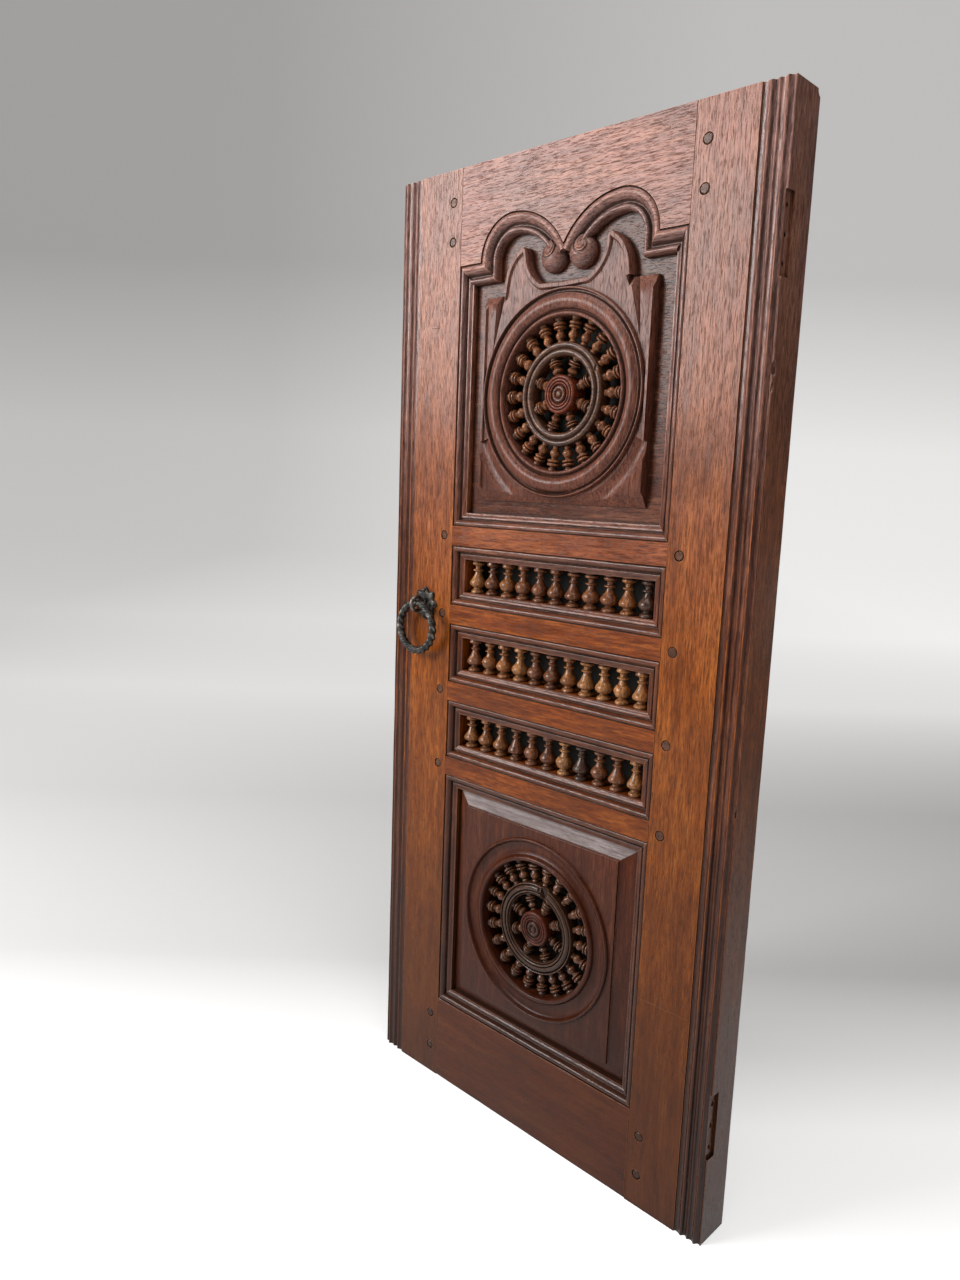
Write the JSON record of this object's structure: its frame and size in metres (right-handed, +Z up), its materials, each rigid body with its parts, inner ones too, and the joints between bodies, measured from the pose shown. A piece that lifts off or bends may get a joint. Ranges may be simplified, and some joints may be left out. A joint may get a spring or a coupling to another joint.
{
  "type": "panelled door leaf",
  "caption": "Small oak door leaf with a swan-neck top rail, two panels with spindle wheels, baluster galleries and an iron ring pull.",
  "frame": {"origin": "middle of the leaf's bottom edge, half way through its thickness", "axes": "+X right along the width as seen from the front, +Y from the front face to the back, +Z up along the height"},
  "size_m": [0.512, 0.0778, 1.15],
  "materials": {
    "frame_wood": "waxed red-brown oak, worn",
    "panel_wood": "waxed dark red-brown oak",
    "wheel_wood": "dark waxed turned wood",
    "hub_wood": "reddish waxed turned wood",
    "turned_wood": "waxed turned wood, from tan to dark brown",
    "peg_wood": "dark end grain",
    "iron": "dark worn wrought iron"
  },
  "bodies": {
    "leaf": {"meeting_stile": "frame_wood", "hinge_stile": "frame_wood", "top_rail": "frame_wood", "bottom_rail": "frame_wood", "lower_panel_rail": "frame_wood", "lower_gallery_rail": "frame_wood", "upper_gallery_rail": "frame_wood", "upper_panel_rail": "frame_wood", "frame_pegs": "peg_wood", "upper_panel": "panel_wood", "lower_panel": "panel_wood", "back_board": "panel_wood", "upper_wheel_ring": "wheel_wood", "lower_wheel_ring": "wheel_wood", "upper_wheel_hub": "hub_wood", "lower_wheel_hub": "hub_wood", "upper_wheel_outer_spindles": "turned_wood", "upper_wheel_inner_spindles": "turned_wood", "lower_wheel_outer_spindles": "turned_wood", "lower_wheel_inner_spindles": "turned_wood", "pull_rosette": "iron", "pull_staple": "iron", "gallery_1_baluster_01": "turned_wood", "gallery_1_baluster_02": "turned_wood", "gallery_1_baluster_03": "turned_wood", "gallery_1_baluster_04": "turned_wood", "gallery_1_baluster_05": "turned_wood", "gallery_1_baluster_06": "turned_wood", "gallery_1_baluster_07": "turned_wood", "gallery_1_baluster_08": "turned_wood", "gallery_1_baluster_09": "turned_wood", "gallery_1_baluster_10": "turned_wood", "gallery_1_baluster_11": "turned_wood", "gallery_2_baluster_01": "turned_wood", "gallery_2_baluster_02": "turned_wood", "gallery_2_baluster_03": "turned_wood", "gallery_2_baluster_04": "turned_wood", "gallery_2_baluster_05": "turned_wood", "gallery_2_baluster_06": "turned_wood", "gallery_2_baluster_07": "turned_wood", "gallery_2_baluster_08": "turned_wood", "gallery_2_baluster_09": "turned_wood", "gallery_2_baluster_10": "turned_wood", "gallery_2_baluster_11": "turned_wood", "gallery_3_baluster_01": "turned_wood", "gallery_3_baluster_02": "turned_wood", "gallery_3_baluster_03": "turned_wood", "gallery_3_baluster_04": "turned_wood", "gallery_3_baluster_05": "turned_wood", "gallery_3_baluster_06": "turned_wood", "gallery_3_baluster_07": "turned_wood", "gallery_3_baluster_08": "turned_wood", "gallery_3_baluster_09": "turned_wood", "gallery_3_baluster_10": "turned_wood", "gallery_3_baluster_11": "turned_wood"},
    "ring_pull": {"pull_ring": "iron"}
  },
  "joints": [
    {"name": "pull_swing", "type": "hinge", "parent": "leaf", "child": "ring_pull", "pos_m": [-0.1955, -0.0405, 0.638], "axis": [-1, 0, 0], "range_deg": [-8, 188]}
  ]
}
